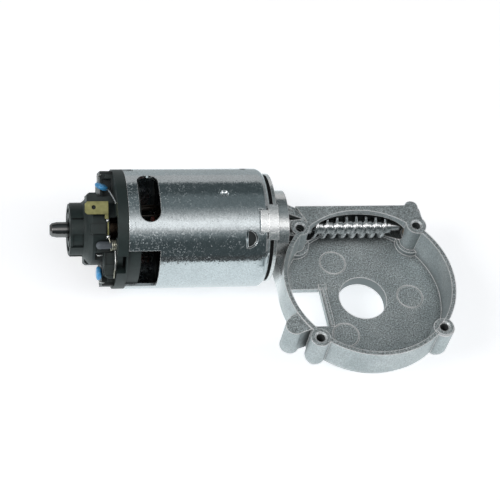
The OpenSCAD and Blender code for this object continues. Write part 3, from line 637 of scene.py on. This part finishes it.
# Armature windings: wires laid from slot to slot across both ends of the core, and along the slots
slot_r, slots, span = core_r - 4.6, 12, 5
head_wire_r, slot_wire_r, wire_sides = 0.42, 0.44, 7
ends = {"rear": (core_low.x - 0.9, -1.0), "front": (core_high.x + 0.9, 1.0)}
for label, (x0, way) in ends.items():
    paths = []
    for i in range(slots):
        for layer in range(4):
            points = []
            for s in range(13):
                t = s / 12
                a = TAU * (i + span * t) / slots + 0.07 * (layer - 1.5)
                bow = math.sin(math.pi * t)
                r = slot_r + 0.5 - layer * 0.55 - 2.1 * bow + 0.35 * math.sin(i * 1.7 + layer) * bow
                x = x0 + way * ((0.2 + 0.75 * layer) * min(1, bow * 1.6) + 0.25 * i / slots + 1.1 * bow)
                points.append(m_point(x, r * math.cos(a), r * math.sin(a)))
            paths.append(smooth_path(points, 2))
    stands_for = ("armature_windings",) if label == "rear" else ()
    name = "coil_head_" + label
    place_piece(name, tubes_mesh(name, paths, head_wire_r, wire_sides), "rotor", "winding_copper", *stands_for)
paths = []
for i in range(slots):
    a = TAU * i / slots
    middle = Vector((0, slot_r * math.cos(a), slot_r * math.sin(a)))
    for k in range(7):
        r = 0.0 if k == 6 else 0.95
        b = TAU * k / 6
        paths.append([m_point(x, middle.y + r * math.cos(b), middle.z + r * math.sin(b))
                      for x in (core_low.x - 1.2, -61.0, core_high.x + 1.2)])
    paths.append(smooth_path([m_point(x, r * math.cos(a), r * math.sin(a)) for x, r in (
        (core_low.x - 3.5, 8.9), (core_low.x - 8, 8.8), (comm_high.x + 0.3, 8.5))], 4))
place_piece("slot_wires", tubes_mesh("slot_wires", paths, slot_wire_r, wire_sides), "rotor", "winding_copper")

# ---- stage, light and camera -------------------------------------------------------------------
low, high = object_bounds()
floor_z = low[2] - 0.0002
reach = 6.0


def level_sheet(name, near, far, height, material):
    """A level sheet of the stage, from one distance in front or behind to another."""
    data = bpy.data.meshes.new(name)
    corners = [(-reach, near), (reach, near), (reach, far), (-reach, far)]
    data.from_pydata([(x, y, height) for x, y in corners], [], [(0, 1, 2, 3)])
    data.materials.append(material)
    sheet = bpy.data.objects.new(name, data)
    bpy.context.scene.collection.objects.link(sheet)
    return sheet


paper = Paint("pale_paper", rough=0.9)
paper_tone = paper.ramp(paper.noise(60, 3), (0.3, (0.86, 0.86, 0.87)), (0.7, (0.9, 0.9, 0.91)))
paper.shader.inputs["Emission Color"].default_value = (0.98, 0.98, 1.0, 1)
paper.shader.inputs["Emission Strength"].default_value = 0.5
floor = level_sheet("floor", -reach, reach, floor_z, paper.finish(paper_tone))


def reflector(name, near, far, tone):
    """A sheet just above the floor that only shows in polished metal."""
    card = Paint(name, rough=1.0, colour=(0, 0, 0))
    card.shader.inputs["Emission Color"].default_value = (tone * 0.93, tone, tone * 1.02, 1)
    card.shader.inputs["Emission Strength"].default_value = 1.0
    sheet = level_sheet(name, near, far, floor_z + 0.0004, card.finish(specular_ior_level=0.0))
    sheet.visible_camera = sheet.visible_diffuse = sheet.visible_shadow = sheet.visible_transmission = False


reflector("dark_card_front", -reach, -0.14, 0.07)
reflector("pale_card_under", -0.14, 0.10, 0.93)
reflector("grey_card_back", 0.10, reach, 0.45)

world = bpy.data.worlds.new("studio")
bpy.context.scene.world = world
world.use_nodes = True
tree = world.node_tree
tree.nodes.clear()
out = tree.nodes.new("ShaderNodeOutputWorld")
sky = tree.nodes.new("ShaderNodeBackground")
sky.inputs["Strength"].default_value = 1.0
tree.links.new(sky.outputs[0], out.inputs[0])
split = tree.nodes.new("ShaderNodeSeparateXYZ")
tree.links.new(tree.nodes.new("ShaderNodeTexCoord").outputs["Generated"], split.inputs[0])


def world_math(kind, a, b=0.0):
    made = tree.nodes.new("ShaderNodeMath")
    made.operation = kind
    for i, value in enumerate((a, b)):
        if isinstance(value, bpy.types.NodeSocket):
            tree.links.new(value, made.inputs[i])
        else:
            made.inputs[i].default_value = value
    return made.outputs[0]


def studio_walls(*stops):
    """Tones round the object, by the angle from straight up, positive towards the front, in degrees."""
    forward = world_math("MULTIPLY", split.outputs["Y"], -1.0)
    angle = world_math("ARCTAN2", forward, split.outputs["Z"])
    share = world_math("ADD", world_math("MULTIPLY", angle, 1 / TAU), 0.5)
    made = tree.nodes.new("ShaderNodeValToRGB")
    while len(made.color_ramp.elements) < len(stops):
        made.color_ramp.elements.new(0.5)
    for element, (degrees, tone) in zip(made.color_ramp.elements, stops):
        element.position = degrees / 360 + 0.5
        cool = 1 - min(1, tone / 0.5)
        element.color = (tone * (1 - 0.24 * cool), tone, tone * (1 + 0.06 * cool), 1)
    tree.links.new(share, made.inputs[0])
    return made.outputs[0]


# a soft strip overhead, dark walls in front and behind, pale paper below and low at the back
walls = studio_walls((-180, 0.55), (-67, 0.5), (-62.5, 0.085), (-38, 0.085), (-28, 0.18), (-7, 0.2),
                     (6, 0.42), (15, 0.8), (23, 1.15), (32, 1.15), (37, 0.6), (45, 0.28), (53, 0.13),
                     (61, 0.08), (97, 0.08), (104, 0.8), (180, 0.8))
side_tone = tree.nodes.new("ShaderNodeValToRGB")
for element, (at, tone) in zip(side_tone.color_ramp.elements, ((0.45, 0.55), (0.55, 0.3))):
    element.position = at
    element.color = (tone, tone, tone, 1)
tree.links.new(world_math("ADD", world_math("MULTIPLY", split.outputs["Z"], 0.5), 0.5), side_tone.inputs[0])
across = world_math("ABSOLUTE", split.outputs["X"])
side_share = world_math("MULTIPLY", world_math("SUBTRACT", across, 0.42), 4.0)
side_share.node.use_clamp = True
blend = tree.nodes.new("ShaderNodeMix")
blend.data_type = "RGBA"
tree.links.new(side_share, blend.inputs[0])
tree.links.new(walls, blend.inputs[6])
tree.links.new(side_tone.outputs[0], blend.inputs[7])
tree.links.new(blend.outputs[2], sky.inputs["Color"])

aim = Vector((-0.043706, 0.018154, 0.007456))


def softbox(name, azimuth, elevation, distance, width, height, power, colour=(1, 1, 1)):
    """A soft rectangular light that faces the object. Azimuth 0 is in front, 90 at the right."""
    a, e = math.radians(azimuth), math.radians(elevation)
    way = Vector((math.sin(a) * math.cos(e), -math.cos(a) * math.cos(e), math.sin(e)))
    data = bpy.data.lights.new(name, "AREA")
    data.shape = "RECTANGLE"
    data.size, data.size_y, data.energy, data.color = width, height, power, colour
    light = bpy.data.objects.new(name, data)
    light.location = aim + way * distance
    light.rotation_euler = way.to_track_quat("Z", "Y").to_euler()
    bpy.context.scene.collection.objects.link(light)
    return light


softbox("key_left", -68, 42, 1.3, 0.5, 0.5, 5.0)
softbox("key_right", 70, 35, 1.3, 0.5, 0.5, 3.0)

view_azimuth, view_elevation, view_roll, view_distance = -20.366, 54.752, 16.033, 0.6554
a, e, roll = (math.radians(v) for v in (view_azimuth, view_elevation, view_roll))
away = Vector((math.sin(a) * math.cos(e), -math.cos(a) * math.cos(e), math.sin(e)))
level = Vector((0, 0, 1)).cross(away).normalized()
upright = away.cross(level)
right = level * math.cos(roll) + upright * math.sin(roll)
up = upright * math.cos(roll) - level * math.sin(roll)
camera_data = bpy.data.cameras.new("camera")
camera_data.sensor_width = 36.0
camera_data.lens = 122.4
camera = bpy.data.objects.new("camera", camera_data)
camera.matrix_world = Matrix.Translation(aim + away * view_distance) @ Matrix((
    (right.x, up.x, away.x, 0), (right.y, up.y, away.y, 0), (right.z, up.z, away.z, 0), (0, 0, 0, 1)))
bpy.context.scene.collection.objects.link(camera)
bpy.context.scene.camera = camera
bpy.context.scene.view_settings.view_transform = "Standard"
